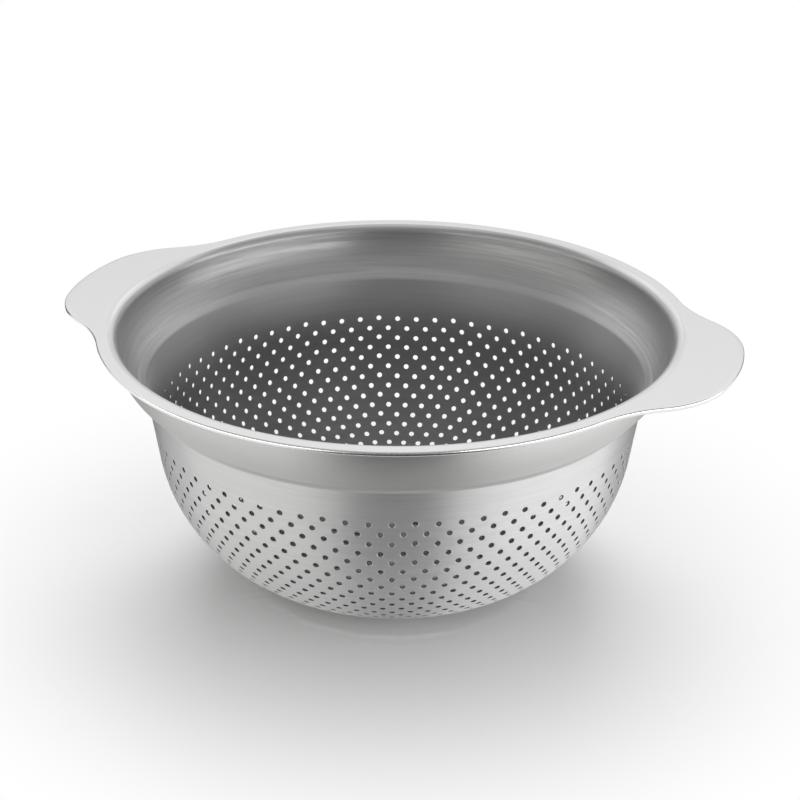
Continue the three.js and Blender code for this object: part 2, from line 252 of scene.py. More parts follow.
class SteelFinish(bpy.types.PropertyGroup):
    """Colours and brushing of the steel."""

    # One steel in lighter and darker copies: the flange, ears and bend are partly a smoother finish and
    # partly painted light, and the outside wall's darker colour is painted shade
    collar_colour: colour("Collar", "Steel of the rim collar's outside", (0.60, 0.60, 0.59))
    collar_roughness: share("Collar roughness", "Middle roughness of the collar's outside", 0.42)
    collar_brushing: share("Collar brushing", BRUSHING, 0.9)
    collar_lines: share("Collar lines", LINES, 0.5)
    satin_colour: colour("Satin", "Steel of the flange, the ears and the bend", (0.83, 0.83, 0.83))
    satin_roughness: share("Satin roughness", "Middle roughness of the flange and the ears", 0.20)
    satin_brushing: share("Satin brushing", BRUSHING, 0.2)
    satin_lines: share("Satin lines", LINES, 0.15)
    inside_roughness: share("Inside roughness", "Middle roughness of the collar's inside", 0.40)
    inside_brushing: share("Inside brushing", BRUSHING, 0.7)
    inside_lines: amount("Inside lines", LINES, 1.98)
    # Inside tone is painted shade: it darkens the collar's inside below its top; the roughness there is
    # real
    inside_painted_shade: share("Inside tone", "Brightness of the collar's inside against the flange", 0.68)
    inside_fade: length("Inside fade", "Height over which the collar's inside turns duller", 0.00136)
    bowl_colour: colour("Bowl", "Steel of the strainer bowl", (0.70, 0.70, 0.70))
    bowl_roughness: share("Bowl roughness", "Middle roughness of the bowl", 0.46)
    bowl_brushing: share("Bowl brushing", BRUSHING, 0.93)
    bowl_lines: share("Bowl lines", LINES, 0.8)
    # Lining tone and lining fade set painted shade: the bowl's inside darkens downwards from the
    # crease; its roughness stays that of the outside
    lining_painted_shade: share("Lining tone", "Brightness of the bowl's inside against its outside", 0.52)
    lining_fade: length("Lining fade", "Height over which the bowl's inside turns duller", 0.024)
    wall_edge: share("Wall edge", "Brightness of the walls where they turn away, against the rest", 0.4)
    # The punched edge's dark colour is partly the sheared steel's own and partly painted shade that
    # darkens the holes
    punched_colour_and_shade: colour("Punched edge", "Sheared walls of the holes", (0.13, 0.13, 0.14))
    punched_roughness: share("Punched roughness", "Middle roughness of the holes' walls", 0.42)
    # The weld's darker colour is painted shade in the crease between the collar's seat and the bowl
    weld_colour: colour("Weld", "Dressed weld bead", (0.54, 0.54, 0.53))
    weld_roughness: share("Weld roughness", "Middle roughness of the weld", 0.36)
    weld_brushing: share("Weld brushing", BRUSHING, 0.7)
    weld_lines: share("Weld lines", LINES, 0.8)


class StageSettings(bpy.types.PropertyGroup):
    """Camera and light of the studio stage."""

    azimuth: angle("Azimuth", "Bearing of the camera round the object", 19.74)
    elevation: angle("Elevation", "Height of the camera above the rim", 22.603)
    distance: length("Distance", "From the camera to the middle of the rim", 0.78386)
    pitch: angle("Pitch", "Downward tilt of the camera", 24.961)
    yaw: angle("Yaw", "Turn of the camera off the rim's middle", 0.158)
    roll: angle("Roll", "Lean of the camera", 0.390)
    lens: bpy.props.FloatProperty(
        name="Lens", description="Focal length", default=87.28, unit="CAMERA"
    )
    floor_colour: colour("Floor", "Pale studio floor", (0.86, 0.86, 0.86))
    floor_reach: length("Floor reach", "From the object's axis to where the floor is white", 0.22)
    card_start: length("Card start", "From the object's axis to the dark card in front", 0.185)
    floor_light: amount("Floor light", "Brightness of the lamp that lights the floor", 7.5)
    left_light: amount("Left light", "Brightness of the left softbox", 2.55)
    right_light: amount("Right light", "Brightness of the right softbox", 4.35)
    room_low: amount("Room, low", "Soft light of the room near the floor", 0.12)
    room_high: amount("Room, high", "Soft light of the room's walls", 0.34)
    room_ceiling: amount("Room, ceiling", "How much brighter than the walls the ceiling is", 0.28)


# Section geometry: points are (radius, height)


def cross(a, b):
    return a.x * b.y - a.y * b.x


def meet(p, u, q, v):
    """The point where two lines meet, each given by a point and a direction."""
    return p + u * (cross(q - p, v) / cross(u, v))


def spoke_at(turn):
    return Vector((math.cos(turn), math.sin(turn)))


def arc(centre, radius, start, end, steps=ARC_STEPS):
    turns = [start + (end - start) * i / steps for i in range(steps + 1)]
    return [centre + spoke_at(t) * radius for t in turns]


def out_at(slope):
    return Vector((math.sin(slope), -math.cos(slope)))


def down_at(slope):
    return Vector((-math.cos(slope), -math.sin(slope)))


def bearings(columns):
    """Even steps round the object's axis."""
    return [2 * math.pi * i / columns for i in range(columns)]


def turned(p, bearing):
    """A point of a section, turned round the object's axis."""
    return Vector((p.x * math.cos(bearing), p.x * math.sin(bearing), p.y))


class CollarSection:
    """The collar's wall in section, and where the bowl leaves it."""

    def __init__(self, collar, bowl):
        wall = math.pi / 2 - collar.wall_draft
        self.seat = collar.seat_slope
        self.draft = collar.wall_draft
        self.sheet = collar.sheet
        self.bend = collar.flange_bend
        self.flare = collar.flare_radius
        self.top = collar.height
        rim = collar.rim_diameter / 2
        under = collar.height - collar.sheet
        self.bend_centre = Vector((rim - collar.flange_flat, under - self.bend))
        wall_top = self.bend_centre - out_at(wall) * self.bend
        flare_top = wall_top + down_at(wall) * collar.wall_straight
        self.flare_centre = flare_top - out_at(wall) * self.flare
        self.seat_outside = self.flare_centre + out_at(self.seat) * self.flare
        self.seat_inside = self.flare_centre + out_at(self.seat) * (self.flare - self.sheet)
        mouth = Vector((bowl.mouth_diameter / 2, 0))
        self.crease = meet(self.seat_outside, down_at(self.seat), mouth, Vector((0, 1)))
        self.wall_up = Vector((math.sin(bowl.draft), math.cos(bowl.draft)))
        self.wall_out = Vector((self.wall_up.y, -self.wall_up.x))

    def wall(self, bore_gap):
        """The wall below the flange: down the outside, round the lower edge and up the inside."""
        bore = self.crease + self.wall_out * bore_gap
        edge_outside = meet(self.seat_outside, down_at(self.seat), bore, self.wall_up)
        edge_inside = meet(self.seat_inside, down_at(self.seat), bore, self.wall_up)
        bend_foot = math.pi - self.draft
        flare_foot = self.seat - math.pi / 2
        inner_flare = self.flare - self.sheet
        return [
            *arc(self.bend_centre, self.bend, math.pi / 2, bend_foot),
            *arc(self.flare_centre, self.flare, -self.draft, flare_foot, 2 * ARC_STEPS),
            edge_outside,
            edge_inside,
            *arc(self.flare_centre, inner_flare, flare_foot, -self.draft, 2 * ARC_STEPS),
            *arc(self.bend_centre, self.bend + self.sheet, bend_foot, math.pi / 2),
        ]


class BowlSection:
    """The bowl's wall in section, measured along its outside from the crease downwards."""

    def __init__(self, collar_section, bowl):
        self.crease = collar_section.crease
        self.up = collar_section.wall_up
        self.out = collar_section.wall_out
        self.sheet = bowl.sheet
        self.radius = bowl.round_radius
        self.bend = bowl.base_bend
        to_base = self.crease - self.out * self.radius - Vector((bowl.base_diameter / 2, 0))
        drop = to_base.dot(self.up)
        self.wall_length = drop - math.sqrt(drop**2 - to_base.length_squared + self.radius**2)
        self.centre = self.crease - self.up * self.wall_length - self.out * self.radius
        reach = math.sqrt((self.radius - self.bend) ** 2 - (self.centre.y - self.bend) ** 2)
        self.bend_centre = Vector((self.centre.x + reach, self.bend))
        to_bend = self.bend_centre - self.centre
        self.round_top = -bowl.draft
        self.round_end = math.atan2(to_bend.y, to_bend.x)
        self.wall_end = self.wall_length + (self.round_top - self.round_end) * self.radius
        self.base_start = self.wall_end + (self.round_end + math.pi / 2) * self.bend
        self.seat = collar_section.seat
        self.seat_inside = collar_section.seat_inside

    def at(self, distance):
        """A point of the outside and the outward direction there."""
        if distance <= self.wall_length:
            return self.crease - self.up * distance, self.out
        if distance <= self.wall_end:
            spoke = spoke_at(self.round_top - (distance - self.wall_length) / self.radius)
            return self.centre + spoke * self.radius, spoke
        spoke = spoke_at(self.round_end - (distance - self.wall_end) / self.bend)
        return self.bend_centre + spoke * self.bend, spoke

    def lip(self, bowl):
        """Pairs of outside and inside points from the lip's edge down to the wall."""
        underside = self.seat_inside - out_at(self.seat) * bowl.lap_gap
        corner = meet(underside, down_at(self.seat), self.crease, self.up)
        turn = math.atan2(self.up.y, self.up.x) - self.seat
        to_wall = self.up * (bowl.lip_bend * math.tan(turn / 2))
        centre = corner - to_wall + self.out * bowl.lip_bend
        start = math.pi - bowl.draft
        edge = corner - down_at(self.seat) * bowl.lip_length
        full = edge + down_at(self.seat) * bowl.lip_feather
        pairs = [(edge, edge - out_at(self.seat) * bowl.lip_edge)]
        pairs.append((full, full - out_at(self.seat) * self.sheet))
        for p in reversed(arc(centre, bowl.lip_bend, start, start - turn, LIP_STEPS)):
            pairs.append((p, p + (p - centre).normalized() * self.sheet))
        return pairs


class Sheet:
    """Corners and faces of a sheet-metal piece; a corner with the same key is shared."""

    def __init__(self):
        self.corners = []
        self.faces = []
        self.finishes = []
        self.index = {}

    def corner(self, key, place, *values):
        if key not in self.index:
            self.index[key] = len(self.corners)
            self.corners.append(place(*values))
        return self.index[key]

    def face(self, corners, finish=0):
        self.faces.append(corners)
        self.finishes.append(finish)

    def strip(self, first, second, finish=0):
        """Quads between two closed rings of as many corners."""
        for i in range(len(first)):
            j = (i + 1) % len(first)
            self.face((first[i], first[j], second[j], second[i]), finish)

    def revolve(self, profiles, finishes):
        """Quads between closed profiles that stand at even bearings round the axis."""
        columns = []
        for i, bearing in enumerate(bearings(len(profiles))):
            points = enumerate(profiles[i])
            columns.append([self.corner((i, k), turned, p, bearing) for k, p in points])
        for i, column in enumerate(columns):
            following = columns[(i + 1) % len(columns)]
            for k, finish in enumerate(finishes):
                n = (k + 1) % len(column)
                self.face((column[k], column[n], following[n], following[k]), finish)

    def build(self, name, materials, sharp):
        mesh = bpy.data.meshes.new(name)
        mesh.from_pydata(self.corners, [], self.faces)
        for material in materials:
            mesh.materials.append(material)
        mesh.polygons.foreach_set("material_index", self.finishes)
        work = bmesh.new()
        work.from_mesh(mesh)
        bmesh.ops.recalc_face_normals(work, faces=work.faces)
        work.to_mesh(mesh)
        work.free()
        mesh.polygons.foreach_set("use_smooth", [True] * len(mesh.polygons))
        mesh.set_sharp_from_angle(angle=math.radians(sharp))
        mesh.update()
        piece = bpy.data.objects.new(name, mesh)
        bpy.context.scene.collection.objects.link(piece)
        return piece


def ear_reach(collar):
    """Angles from the ear's axis, and how far the flange reaches at each."""
    rim = collar.rim_diameter / 2
    tip_centre = Vector((collar.ear_span / 2 - collar.ear_tip_radius, 0))
    tip = collar.ear_tip_half
    corner_centre = tip_centre + spoke_at(tip) * (collar.ear_tip_radius - collar.ear_corner)
    reach = rim + collar.ear_blend
    gap = collar.ear_corner + collar.ear_blend
    away = corner_centre.length
    across = (reach**2 - gap**2 + away**2) / (2 * away)
    aside = math.sqrt(reach**2 - across**2)
    towards = corner_centre.normalized()
    blend_centre = towards * across + Vector((-towards.y, towards.x)) * aside
    back = corner_centre - blend_centre
    blend_start = math.atan2(back.y, back.x) % (2 * math.pi)
    corner_end = blend_start - math.pi
    blend_end = math.atan2(blend_centre.y, blend_centre.x) + math.pi
    outline = [
        *arc(tip_centre, collar.ear_tip_radius, 0, tip, EAR_TIP_STEPS),
        *arc(corner_centre, collar.ear_corner, tip, corner_end, EAR_SIDE_STEPS)[1:],
        *arc(blend_centre, collar.ear_blend, blend_start, blend_end, EAR_SIDE_STEPS)[1:],
    ]
    angles = [math.atan2(p.y, p.x) for p in outline]
    return angles, [p.length for p in outline]


# Finishes


def add(tree, kind, links=None, **settings):
    """A shader node with its settings, its constant inputs and the sockets that feed it."""
    node = tree.nodes.new(kind)
    inputs = settings.pop("inputs", {})
    for key, value in settings.items():
        setattr(node, key, value)
    for key, value in inputs.items():
        node.inputs[key].default_value = value
    for key, socket in (links or {}).items():
        tree.links.new(socket, node.inputs[key])
    return node


def compute(tree, operation, *values):
    """The result of a math node; each value is a socket or a number."""
    node = add(tree, "ShaderNodeMath", operation=operation)
    for i, value in enumerate(values):
        if isinstance(value, bpy.types.NodeSocket):
            tree.links.new(value, node.inputs[i])
        else:
            node.inputs[i].default_value = value
    return node.outputs[0]


def ramp(tree, value, start, end, low=0.0, high=1.0, shape="SMOOTHSTEP"):
    """Carries a value from the range start to end over to the range low to high."""
    return add(
        tree,
        "ShaderNodeMapRange",
        {"Value": value},
        interpolation_type=shape,
        inputs={"From Min": start, "From Max": end, "To Min": low, "To Max": high},
    ).outputs[0]


def noise(tree, place, scale, detail, roughness):
    return add(
        tree,
        "ShaderNodeTexNoise",
        {"Vector": place},
        inputs={"Scale": scale, "Detail": detail, "Roughness": roughness},
    ).outputs["Fac"]


def mixed(tree, kind, links, inputs, blend="MIX"):
    """A mix of two numbers or colours, A and B."""
    return add(
        tree, "ShaderNodeMix", links, data_type=kind, blend_type=blend, inputs=inputs
    ).outputs["Result"]


def bump(tree, height, strength, distance):
    inputs = {"Strength": strength, "Distance": distance}
    return add(tree, "ShaderNodeBump", {"Height": height}, inputs=inputs).outputs[0]


def object_place(tree):
    return add(tree, "ShaderNodeTexCoord").outputs["Object"]


def seen_by(tree, *rays):
    """1 for the kinds of ray that are named, 0 for the others."""
    path = add(tree, "ShaderNodeLightPath")
    found = path.outputs[rays[0]]
    for ray in rays[1:]:
        found = compute(tree, "MAXIMUM", found, path.outputs[ray])
    return found


def brush_lines(tree, across, around):
    """Noise drawn out along circles about the object's axis, fine across them."""
    parts = add(tree, "ShaderNodeSeparateXYZ", {0: object_place(tree)}).outputs
    flat = add(tree, "ShaderNodeCombineXYZ", {"X": parts["X"], "Y": parts["Y"]}).outputs[0]
    radius = add(tree, "ShaderNodeVectorMath", {0: flat}, operation="LENGTH").outputs["Value"]
    spoke = add(tree, "ShaderNodeVectorMath", {0: flat}, operation="NORMALIZE").outputs["Vector"]
    spread = add(
        tree, "ShaderNodeVectorMath", {0: spoke}, operation="SCALE", inputs={"Scale": around}
    ).outputs[0]
    run = compute(tree, "MULTIPLY_ADD", parts["Z"], HEIGHT_WEIGHT, radius)
    fine = compute(tree, "MULTIPLY", run, across)
    lift = add(tree, "ShaderNodeCombineXYZ", {"Z": fine}).outputs[0]
    where = add(tree, "ShaderNodeVectorMath", {0: spread, 1: lift}, operation="ADD").outputs[0]
    return noise(tree, where, *LINE_NOISE)


def new_finish(name):
    material = bpy.data.materials.new(name)
    material.use_nodes = True
    material.node_tree.nodes.clear()
    return material, material.node_tree


def finish_surface(tree, surface):
    add(tree, "ShaderNodeOutputMaterial", {"Surface": surface.outputs[0]})


def toned(rgb, factor):
    return (rgb[0] * factor, rgb[1] * factor, rgb[2] * factor, 1.0)


def grey(tone):
    return (tone, tone, tone, 1.0)


def brushed_steel(name, rgb, roughness, brushing, depth, edge=1.0, dulling_and_shade=None):
    """Satin sheet, brushed in circles: fine lines, broader bands and a faint uneven sheen.

    Edge is the brightness where the sheet turns away, against the rest.
    The last argument gives the two heights between which the sheet turns rougher and, by painted shade,
    darker downwards, and the roughness and the painted shade's tone that it has below.
    """
    material, tree = new_finish(name)
    fine = brush_lines(tree, *FINE_LINES)
    broad = brush_lines(tree, *BROAD_LINES)
    place = object_place(tree)
    cloud = noise(tree, place, *CLOUD_NOISE)
    lines = mixed(tree, "FLOAT", {"A": fine, "B": broad}, {"Factor": BROAD_SHARE})
    tone = ramp(tree, lines, *TONE_RANGE, shape="LINEAR")
    dark = toned(rgb, 1 - LINE_DARKER * depth)
    light = toned(rgb, 1 + LINE_LIGHTER * depth)
    base = mixed(tree, "RGBA", {"Factor": tone}, {"A": dark, "B": light})
    swing = LINE_GLOSS * depth
    gloss = ramp(tree, lines, *GLOSS_RANGE, roughness + swing, roughness - swing, "LINEAR")
    worn = compute(tree, "MULTIPLY_ADD", cloud, CLOUD_GLOSS, gloss)
    if dulling_and_shade:
        high, low, rougher, painted_shade_below = dulling_and_shade
        # Below the fade the sheet turns rougher, and painted shade darkens its colour
        height = add(tree, "ShaderNodeSeparateXYZ", {0: place}).outputs["Z"]
        below = ramp(tree, height, high, low)
        worn = compute(tree, "MULTIPLY_ADD", below, rougher - roughness, worn)
        links = {"Factor": below, "A": base}
        base = mixed(tree, "RGBA", links, {"B": grey(painted_shade_below)}, "MULTIPLY")
    relief = bump(tree, lines, LINE_RELIEF * depth, LINE_HEIGHT)
    tangent = add(tree, "ShaderNodeTangent", direction_type="RADIAL", axis="Z").outputs[0]
    steel = add(
        tree,
        "ShaderNodeBsdfPrincipled",
        {"Base Color": base, "Roughness": worn, "Normal": relief, "Tangent": tangent},
        inputs={
            "Metallic": 1.0,
            "Anisotropic": brushing,
            "Anisotropic Rotation": ALONG_LINES,
            "Specular Tint": grey(edge),
        },
    )
    finish_surface(tree, steel)
    return material


def steel_of(finish, kind):
    """Colour, roughness, brushing and lines that the settings give one kind of steel."""
    parts = ("colour", "roughness", "brushing", "lines")
    return [getattr(finish, f"{kind}_{part}") for part in parts]


def punched_steel(name, rgb, roughness):
    """Unbrushed steel with a fine even grain, as a punch leaves it."""
    material, tree = new_finish(name)
    grain = noise(tree, object_place(tree), *PUNCH_NOISE)
    shades = {"A": toned(rgb, PUNCH_DARKEST), "B": toned(rgb, PUNCH_LIGHTEST)}
    base = mixed(tree, "RGBA", {"Factor": grain}, shades)
    rough, smooth = roughness + PUNCH_GLOSS, roughness - PUNCH_GLOSS
    gloss = ramp(tree, grain, 0.0, 1.0, rough, smooth, "LINEAR")
    relief = bump(tree, grain, PUNCH_RELIEF, PUNCH_HEIGHT)
    steel = add(
        tree,
        "ShaderNodeBsdfPrincipled",
        {"Base Color": base, "Roughness": gloss, "Normal": relief},
        inputs={"Metallic": 1.0},
    )
    finish_surface(tree, steel)
    return material


# Pieces


def seat_piece(piece, node):
    """The piece stands for its solid and rides on the body."""
    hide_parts(node)
    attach(piece, BODY)


class COLANDER_OT_rim_collar(bpy.types.Operator):
    """Builds the flange with its ears, the flared wall and the bowl's seat as one pressing"""

    bl_idname = "colander.rim_collar"
    bl_label = "Rim collar"

    def execute(self, context):
        collar = context.scene.colander_collar
        bowl = context.scene.colander_bowl
        finish = context.scene.colander_finish
        section = CollarSection(collar, bowl)
        angles, reaches = ear_reach(collar)
        wall = section.wall(bowl.bore_gap)
        profiles = []
        for bearing in bearings(COLLAR_COLUMNS):
            off_axis = math.acos(min(1.0, abs(math.cos(bearing))))
            reach = float(np.interp(off_axis, angles, reaches))
            profiles.append([*self.flange(section, collar, reach), *wall])
        outer = len(wall) // 2 - 1
        flange = len(profiles[0]) - len(wall)
        finishes = [SATIN] * flange + [OUTSIDE] * outer + [INSIDE] * (len(wall) - outer)
        sheet = Sheet()
        sheet.revolve(profiles, finishes)
        # The flange's lighter steel is partly painted light, and the outside wall's darker steel is
        # painted shade
        collar_steel = steel_of(finish, "collar")
        outside = brushed_steel("collar brushed steel", *collar_steel, finish.wall_edge)
        satin = brushed_steel("collar satin steel", *steel_of(finish, "satin"))
        top = section.top
        # The collar's inside turns rougher below its top, and darker by painted shade
        inside = brushed_steel(
            "collar inside steel",
            finish.satin_colour,
            finish.satin_roughness,
            finish.inside_brushing,
            finish.inside_lines,
            dulling_and_shade=(top, top - finish.inside_fade, finish.inside_roughness, finish.inside_painted_shade),
        )
        piece = sheet.build("rim_collar_pressing", [outside, satin, inside], COLLAR_SHARP)
        seat_piece(piece, "rim_collar")
        return {"FINISHED"}

    @staticmethod
    def flange(section, collar, reach):
        """The flange in section, from the top of the bend out round its edge and back underneath."""
        edge = collar.edge_round
        start = section.bend_centre.x
        end = reach - edge
        top = section.top
        under = top - collar.sheet
        stops = [start + (end - start) * t for t in FLANGE_STEPS]
        return [
            *[Vector((x, top)) for x in stops],
            *arc(Vector((end, top - edge)), edge, math.pi / 2, 0, EDGE_STEPS),
            *arc(Vector((end, under + edge)), edge, 0, -math.pi / 2, EDGE_STEPS),
            *[Vector((x, under)) for x in reversed(stops)],
        ]


class COLANDER_OT_strainer_bowl(bpy.types.Operator):
    """Builds the bowl with its turned-out lip and every hole of the pattern"""

    bl_idname = "colander.strainer_bowl"
    bl_label = "Strainer bowl"

    def execute(self, context):
        bowl = context.scene.colander_bowl
        finish = context.scene.colander_finish
        section = BowlSection(CollarSection(context.scene.colander_collar, bowl), bowl)
        self.bowl = bowl
        self.section = section
        self.sheet = Sheet()
        self.columns = bowl.sectors * bowl.sector_columns
        self.fine = self.columns * COLUMN_STEPS
        self.sector = 2 * math.pi / bowl.sectors
        self.first = bowl.sector_phase - self.sector / 2
        punched_wall = section.wall_end - bowl.bare_band - bowl.base_margin
        self.rows = 1 + int(punched_wall / bowl.row_pitch)
        self.top = bowl.bare_band - bowl.row_pitch / 2
        self.bottom = self.top + self.rows * bowl.row_pitch
        self.lip_and_band()
        for row in range(self.rows):
            for column in range(self.columns):
                self.cell(row, column)
        self.strips_to_base()
        bowl_steel = steel_of(finish, "bowl")
        outside = brushed_steel("bowl brushed steel", *bowl_steel, finish.wall_edge)
        # The holes' walls: grainy sheared steel whose dark colour is partly painted shade in the holes
        punched = punched_steel(
            "punched hole edge", finish.punched_colour_and_shade, finish.punched_roughness
        )
        crease = section.crease.y
        # The bowl's inside: painted shade darkens it downwards from the crease
        lining = brushed_steel(
            "bowl inside steel",
            *bowl_steel,
            dulling_and_shade=(crease, crease - finish.lining_fade, finish.bowl_roughness, finish.lining_painted_shade),
        )
        materials = [outside, punched, lining]
        piece = self.sheet.build("strainer_bowl_pressing", materials, BOWL_SHARP)
        seat_piece(piece, "strainer_bowl")
        return {"FINISHED"}

    def bearing(self, fine):
        return self.first + 2 * math.pi * fine / self.fine

    def depth(self, side):
        """How far below the outside one side of the sheet lies."""
        return self.bowl.sheet if side == "in" else 0.0

    def lifted(self, bearing, distance):
        """Rows rise towards the edges of each sector; the rise fades out in the plain wall."""
        if distance < self.top:
            fade = max(0.0, distance / self.top)
        elif distance > self.bottom:
            fade = max(0.0, 1 - (distance - self.bottom) / (self.section.wall_end - self.bottom))
        else:
            fade = 1.0
        in_sector = ((bearing - self.first) % self.sector) / self.sector * 2 - 1
        return distance - self.bowl.sector_rise * in_sector**2 * fade

    def plain(self, bearing, distance, depth):
        """A place on the wall, without the rise of the rows."""
        point, outward = self.section.at(distance)
        return turned(point - outward * depth, bearing)

    def on_wall(self, bearing, distance, depth):
        return self.plain(bearing, self.lifted(bearing, distance), depth)

    def ring_of(self, name, place):
        """A ring of corners, one for each fine step round the bowl."""
        return [self.sheet.corner((name, c), place, self.bearing(c)) for c in range(self.fine)]

    def wall_ring(self, name, distance, depth):
        return self.ring_of(name, lambda b: self.on_wall(b, distance, depth))

    def row_line(self, side, line):
        """The ring between two rows, on one side of the sheet."""
        distance = self.top + line * self.bowl.row_pitch
        return self.wall_ring((side, line), distance, self.depth(side))

    def lip_and_band(self):
        """The lip with its rounded edge, and the plain wall down to the first row."""
        pairs = self.section.lip(self.bowl)
        edge_middle = (pairs[0][0] + pairs[0][1]) / 2
        along = -down_at(self.section.seat) * (self.bowl.lip_edge / 2)
        outside = []
        inside = []
        for k, (outer, inner) in enumerate(pairs):
            outside.append(self.ring_of(("lip out", k), lambda b, p=outer: turned(p, b)))
            inside.append(self.ring_of(("lip in", k), lambda b, p=inner: turned(p, b)))
        nose = self.ring_of("lip nose", lambda b: turned(edge_middle + along, b))
        self.sheet.strip(outside[0], nose)
        self.sheet.strip(nose, inside[0])
        for k in range(BAND_STEPS):
            distance = self.top * k / BAND_STEPS
            outside.append(self.wall_ring(("band out", k), distance, self.depth("out")))
            inside.append(self.wall_ring(("band in", k), distance, self.depth("in")))
        outside.append(self.row_line("out", 0))
        inside.append(self.row_line("in", 0))
        for k in range(len(outside) - 1):
            self.sheet.strip(outside[k], outside[k + 1], STEEL)
            self.sheet.strip(inside[k], inside[k + 1], STEEL if k < len(pairs) - 1 else LINING)

    def cell_outline(self, row, centre, side):
        """The corners round one cell, counted from its right-hand side upwards."""
        half = COLUMN_STEPS // 2
        middle = ROW_STEPS // 2
        between = range(1 - half, half)
        steps = [(half, up) for up in range(middle, ROW_STEPS + 1)]
        steps += [(across, ROW_STEPS) for across in reversed(between)]
        steps += [(-half, up) for up in range(ROW_STEPS, -1, -1)]
        steps += [(across, 0) for across in between]
        steps += [(half, up) for up in range(middle)]
        corners = []
        for across, up in steps:
            fine = (centre + across) % self.fine
            if up in (0, ROW_STEPS):
                key = ((side, row + 1 if up == 0 else row), fine)
            else:
                key = ((side, row, up), fine)
            distance = self.top + (row + 1 - up / ROW_STEPS) * self.bowl.row_pitch
            values = (self.bearing(fine), distance, self.depth(side))
            corners.append(self.sheet.corner(key, self.on_wall, *values))
        return corners

    def cell(self, row, column):
        """One hole with the sheet round it, on both sides, and the wall of the hole."""
        bowl = self.bowl
        centre = COLUMN_STEPS * column + (row % 2) * COLUMN_STEPS // 2
        middle = self.bearing(centre)
        distance = self.lifted(middle, bowl.bare_band + row * bowl.row_pitch)
        point, _ = self.section.at(distance)
        radius = bowl.hole_diameter / 2

        def ring(name, size, depth):
            corners = []
            for k, turn in enumerate(bearings(HOLE_POINTS)):
                around = middle + size * math.cos(turn) / point.x
                down = distance - size * math.sin(turn)
                key = (row, column, name, k)
                corners.append(self.sheet.corner(key, self.plain, around, down, depth))
            return corners

        soft = ring("soft", radius + bowl.hole_break, 0.0)
        mouth = ring("mouth", radius, bowl.hole_break * BREAK_DEPTH)
        exit_edge = ring("exit", radius, bowl.sheet)
        self.sheet.strip(self.cell_outline(row, centre, "out"), soft, STEEL)
        self.sheet.strip(soft, mouth, STEEL)
        self.sheet.strip(mouth, exit_edge, PUNCHED)
        self.sheet.strip(exit_edge, self.cell_outline(row, centre, "in"), LINING)

    def strips_to_base(self):
        """The plain wall below the last row, the base bend and the flat base."""
        end, base = self.section.wall_end, self.section.base_start
        stops = []
        for k in range(1, FOOT_STEPS + 1):
            stops.append(self.bottom + (end - self.bottom) * k / FOOT_STEPS)
        for k in range(1, BASE_BEND_STEPS + 1):
            stops.append(end + (base - end) * k / BASE_BEND_STEPS)
        rims = {}
        for side, finish in (("out", STEEL), ("in", LINING)):
            rings = [self.row_line(side, self.rows)]
            for k, distance in enumerate(stops):
                rings.append(self.wall_ring((side, "foot", k), distance, self.depth(side)))
            for upper, lower in zip(rings, rings[1:]):
                self.sheet.strip(upper, lower, finish)
            rims[side] = rings[-1]
        self.base(rims)

    def base(self, rims):
        """The flat base with its rings of holes."""
        bowl = self.bowl
        flat = self.section.bend_centre.x
        radius = bowl.hole_diameter / 2
        centres = []
        ring = bowl.ring_first
        while ring * bowl.ring_pitch + bowl.ring_pitch < flat:
            turns = bearings(ring * bowl.ring_growth)
            centres += [spoke_at(t) * (ring * bowl.ring_pitch) for t in turns]
            ring += 1

        def ring_at(h, name, size, height):
            spots = arc(centres[h], size, 0, 2 * math.pi, HOLE_POINTS)[:-1]
            return [
                self.sheet.corner(("base", h, name, k), Vector, (p.x, p.y, height))
                for k, p in enumerate(spots)
            ]

        holes = range(len(centres))
        soft = [ring_at(h, "soft", radius + bowl.hole_break, 0.0) for h in holes]
        mouth = [ring_at(h, "mouth", radius, bowl.hole_break * BREAK_DEPTH) for h in holes]
        exit_edge = [ring_at(h, "exit", radius, bowl.sheet) for h in holes]
        for h in holes:
            self.sheet.strip(soft[h], mouth[h], STEEL)
            self.sheet.strip(mouth[h], exit_edge[h], PUNCHED)
        self.fill(rims["out"], soft, centres, radius, STEEL)
        self.fill(rims["in"], exit_edge, centres, radius, LINING)

    def fill(self, rim, holes, centres, radius, finish):
        """Triangles between the rim of the base and its holes."""
        loops = [rim, *holes]
        order = [c for loop in loops for c in loop]
        spots = [self.sheet.corners[c].to_2d() for c in order]
        edges = []
        start = 0
        for loop in loops:
            size = len(loop)
            edges += [(start + i, start + (i + 1) % size) for i in range(size)]
            start += size
        found, _, faces, origins, _, _ = geometry.delaunay_2d_cdt(
            spots, edges, [], INSIDE_ONLY, SAME_POINT
        )
        middles = np.array([c[:] for c in centres])
        for face in faces:
            middle = sum((found[i] for i in face), Vector((0, 0))) / len(face)
            nearest = np.hypot(*(middles - np.array(middle[:])).T).min()
            if nearest > radius:
                self.sheet.face([order[origins[i][0]] for i in face], finish)


